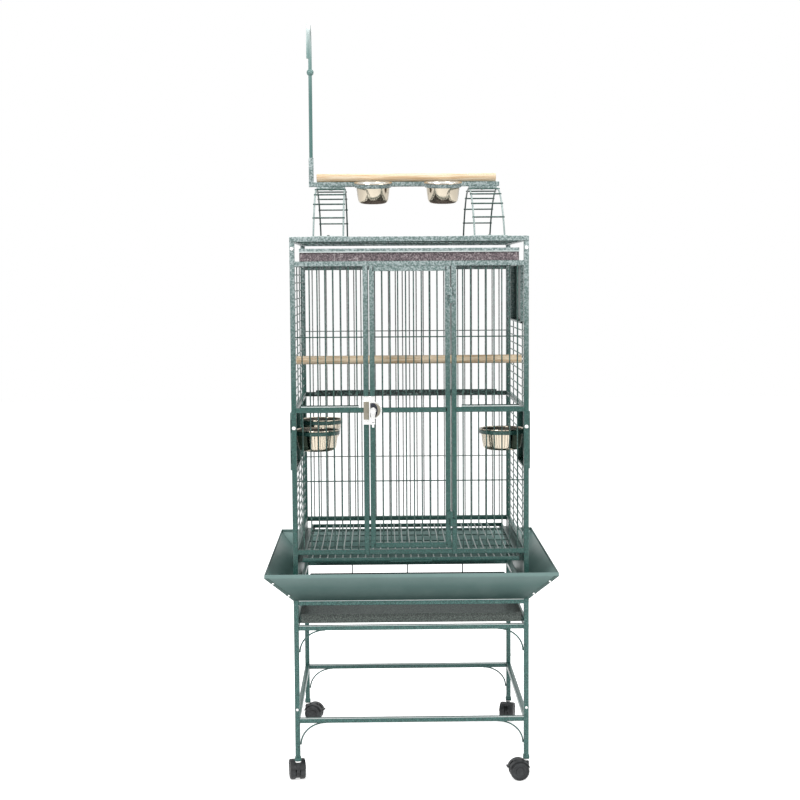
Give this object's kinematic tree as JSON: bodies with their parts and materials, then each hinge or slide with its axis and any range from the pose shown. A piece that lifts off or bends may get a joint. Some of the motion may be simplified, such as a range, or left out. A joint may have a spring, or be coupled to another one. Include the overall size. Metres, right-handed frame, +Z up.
{
  "type": "play top parrot cage on a castered stand",
  "caption": "Tall welded bird cage with a hinged front door, pull-out trays and grate, feeder doors with lift-out cups, a play top with ladders and a castered stand.",
  "frame": {"origin": "on the floor, under the middle of the cage", "axes": "+Z up, the door faces -Y, +X to the right of someone who faces the door"},
  "size_m": [0.75, 0.699, 1.9847],
  "materials": {
    "hammertone": "green hammertone powder coat",
    "green_sheet": "satin green paint",
    "steel": "polished stainless",
    "plated": "satin nickel plate",
    "wood": "bare sanded wood",
    "rubber": "moulded black nylon"
  },
  "bodies": {
    "cage": {"cage_perch": "wood", "doorway_head_rail": "hammertone", "doorway_sill_rail": "hammertone", "front_guard": "green_sheet", "front_left_panel": "hammertone", "front_right_panel": "hammertone", "left_arch": "hammertone", "left_guard": "green_sheet", "left_side_panel": "hammertone", "lock_keeper": "plated", "perch_bolt_left": "plated", "perch_bolt_right": "plated", "play_bar": "hammertone", "play_left_ring": "hammertone", "play_perch": "wood", "play_right_ring": "hammertone", "rear_guard": "green_sheet", "rear_panel": "hammertone", "rear_tray_gate": "hammertone", "right_arch": "hammertone", "right_guard": "green_sheet", "right_side_panel": "hammertone", "roof_panel": "hammertone", "stand_front_shelf_rail": "hammertone", "stand_front_top_rail": "hammertone", "stand_front_tray_rail": "hammertone", "stand_left_frame": "hammertone", "stand_rear_shelf_rail": "hammertone", "stand_right_frame": "hammertone"},
    "door": {"front_door": "hammertone", "door_lock_plate": "plated"},
    "lock_lever": {"door_lock_lever": "plated"},
    "grate": {"floor_grate": "hammertone"},
    "lower_tray": {"bottom_tray": "green_sheet"},
    "upper_tray": {"top_tray": "green_sheet"},
    "hook": {"toy_hook": "hammertone"},
    "nest_flap": {"nest_door": "green_sheet"},
    "nest_latch": {"nest_door_latch": "plated"},
    "play_cup_left": {"play_left_cup": "steel"},
    "play_cup_right": {"play_right_cup": "steel"},
    "left_front_feeder": {"left_front_feeder_door": "green_sheet", "left_front_feeder_ring": "hammertone"},
    "left_front_cup": {"left_front_feeder_cup": "steel"},
    "left_front_latch": {"left_front_feeder_latch": "plated"},
    "left_rear_feeder": {"left_rear_feeder_door": "green_sheet", "left_rear_feeder_ring": "hammertone"},
    "left_rear_cup": {"left_rear_feeder_cup": "steel"},
    "left_rear_latch": {"left_rear_feeder_latch": "plated"},
    "right_front_feeder": {"right_front_feeder_door": "green_sheet", "right_front_feeder_ring": "hammertone"},
    "right_front_cup": {"right_front_feeder_cup": "steel"},
    "right_front_latch": {"right_front_feeder_latch": "plated"},
    "caster_front_left": {"caster_front_left_housing": "rubber"},
    "wheels_front_left": {"caster_front_left_wheels": "rubber"},
    "caster_front_right": {"caster_front_right_housing": "rubber"},
    "wheels_front_right": {"caster_front_right_wheels": "rubber"},
    "caster_rear_left": {"caster_rear_left_housing": "rubber"},
    "wheels_rear_left": {"caster_rear_left_wheels": "rubber"},
    "caster_rear_right": {"caster_rear_right_housing": "rubber"},
    "wheels_rear_right": {"caster_rear_right_wheels": "rubber"}
  },
  "joints": [
    {"name": "door_hinge", "type": "hinge", "parent": "cage", "child": "door", "pos_m": [0.1051, -0.284, 0.974], "axis": [0, 0, 1], "range_deg": [0, 165]},
    {"name": "lock_lever_turn", "type": "hinge", "parent": "door", "child": "lock_lever", "pos_m": [-0.0954, -0.2901, 0.974], "axis": [0, 1, 0], "range_deg": [0, 90]},
    {"name": "grate_slide", "type": "slide", "parent": "cage", "child": "grate", "axis": [0, -1, 0], "range_m": [0, 0.5]},
    {"name": "lower_tray_slide", "type": "slide", "parent": "cage", "child": "lower_tray", "axis": [0, -1, 0], "range_m": [0, 0.5]},
    {"name": "upper_tray_slide", "type": "slide", "parent": "cage", "child": "upper_tray", "axis": [0, -1, 0], "range_m": [0, 0.5]},
    {"name": "hook_lift", "type": "slide", "parent": "cage", "child": "hook", "axis": [0, 0, 1], "range_m": [0, 0.06]},
    {"name": "left_front_feeder_hinge", "type": "hinge", "parent": "cage", "child": "left_front_feeder", "pos_m": [-0.3073, -0.266, 0.89325], "axis": [0, 0, 1], "range_deg": [0, 110]},
    {"name": "left_front_cup_lift", "type": "slide", "parent": "left_front_feeder", "child": "left_front_cup", "axis": [0, 0, 1], "range_m": [0, 0.05]},
    {"name": "left_front_latch_turn", "type": "hinge", "parent": "left_front_feeder", "child": "left_front_latch", "pos_m": [-0.3096, -0.0885, 0.89325], "axis": [1, 0, 0], "range_deg": [0, 90]},
    {"name": "left_rear_feeder_hinge", "type": "hinge", "parent": "cage", "child": "left_rear_feeder", "pos_m": [-0.3073, 0.031, 0.89325], "axis": [0, 0, 1], "range_deg": [0, 110]},
    {"name": "left_rear_cup_lift", "type": "slide", "parent": "left_rear_feeder", "child": "left_rear_cup", "axis": [0, 0, 1], "range_m": [0, 0.05]},
    {"name": "left_rear_latch_turn", "type": "hinge", "parent": "left_rear_feeder", "child": "left_rear_latch", "pos_m": [-0.3096, 0.2085, 0.89325], "axis": [1, 0, 0], "range_deg": [0, 90]},
    {"name": "right_front_feeder_hinge", "type": "hinge", "parent": "cage", "child": "right_front_feeder", "pos_m": [0.3073, -0.266, 0.89325], "axis": [0, 0, -1], "range_deg": [0, 110]},
    {"name": "right_front_cup_lift", "type": "slide", "parent": "right_front_feeder", "child": "right_front_cup", "axis": [0, 0, 1], "range_m": [0, 0.05]},
    {"name": "right_front_latch_turn", "type": "hinge", "parent": "right_front_feeder", "child": "right_front_latch", "pos_m": [0.3096, -0.0885, 0.89325], "axis": [1, 0, 0], "range_deg": [0, 90]},
    {"name": "nest_flap_hinge", "type": "hinge", "parent": "cage", "child": "nest_flap", "pos_m": [0.3073, -0.027, 1.3483], "axis": [0, -1, 0], "range_deg": [0, 110]},
    {"name": "nest_latch_turn", "type": "hinge", "parent": "nest_flap", "child": "nest_latch", "pos_m": [0.3096, -0.011, 1.20285], "axis": [1, 0, 0], "range_deg": [0, 90]},
    {"name": "play_cup_left_lift", "type": "slide", "parent": "cage", "child": "play_cup_left", "axis": [0, -0.1392, 0.9903], "range_m": [0, 0.05]},
    {"name": "play_cup_right_lift", "type": "slide", "parent": "cage", "child": "play_cup_right", "axis": [0, -0.1392, 0.9903], "range_m": [0, 0.05]},
    {"name": "caster_front_left_swivel", "type": "hinge", "parent": "cage", "child": "caster_front_left", "pos_m": [-0.29865, -0.27315, 0.055], "axis": [0, 0, 1], "continuous": true},
    {"name": "caster_front_left_roll", "type": "hinge", "parent": "caster_front_left", "child": "wheels_front_left", "pos_m": [-0.30195, -0.25444, 0.025], "axis": [-0.9848, -0.1736, 0], "continuous": true},
    {"name": "caster_front_right_swivel", "type": "hinge", "parent": "cage", "child": "caster_front_right", "pos_m": [0.29865, -0.27315, 0.055], "axis": [0, 0, 1], "continuous": true},
    {"name": "caster_front_right_roll", "type": "hinge", "parent": "caster_front_right", "child": "wheels_front_right", "pos_m": [0.27975, -0.27514, 0.025], "axis": [0.1045, -0.9945, 0], "continuous": true},
    {"name": "caster_rear_left_swivel", "type": "hinge", "parent": "cage", "child": "caster_rear_left", "pos_m": [-0.29865, 0.27315, 0.055], "axis": [0, 0, 1], "continuous": true},
    {"name": "caster_rear_left_roll", "type": "hinge", "parent": "caster_rear_left", "child": "wheels_rear_left", "pos_m": [-0.28007, 0.2692, 0.025], "axis": [0.2079, 0.9781, 0], "continuous": true},
    {"name": "caster_rear_right_swivel", "type": "hinge", "parent": "cage", "child": "caster_rear_right", "pos_m": [0.29865, 0.27315, 0.055], "axis": [0, 0, 1], "continuous": true},
    {"name": "caster_rear_right_roll", "type": "hinge", "parent": "caster_rear_right", "child": "wheels_rear_right", "pos_m": [0.29373, 0.2548, 0.025], "axis": [0.9659, -0.2588, 0], "continuous": true}
  ]
}
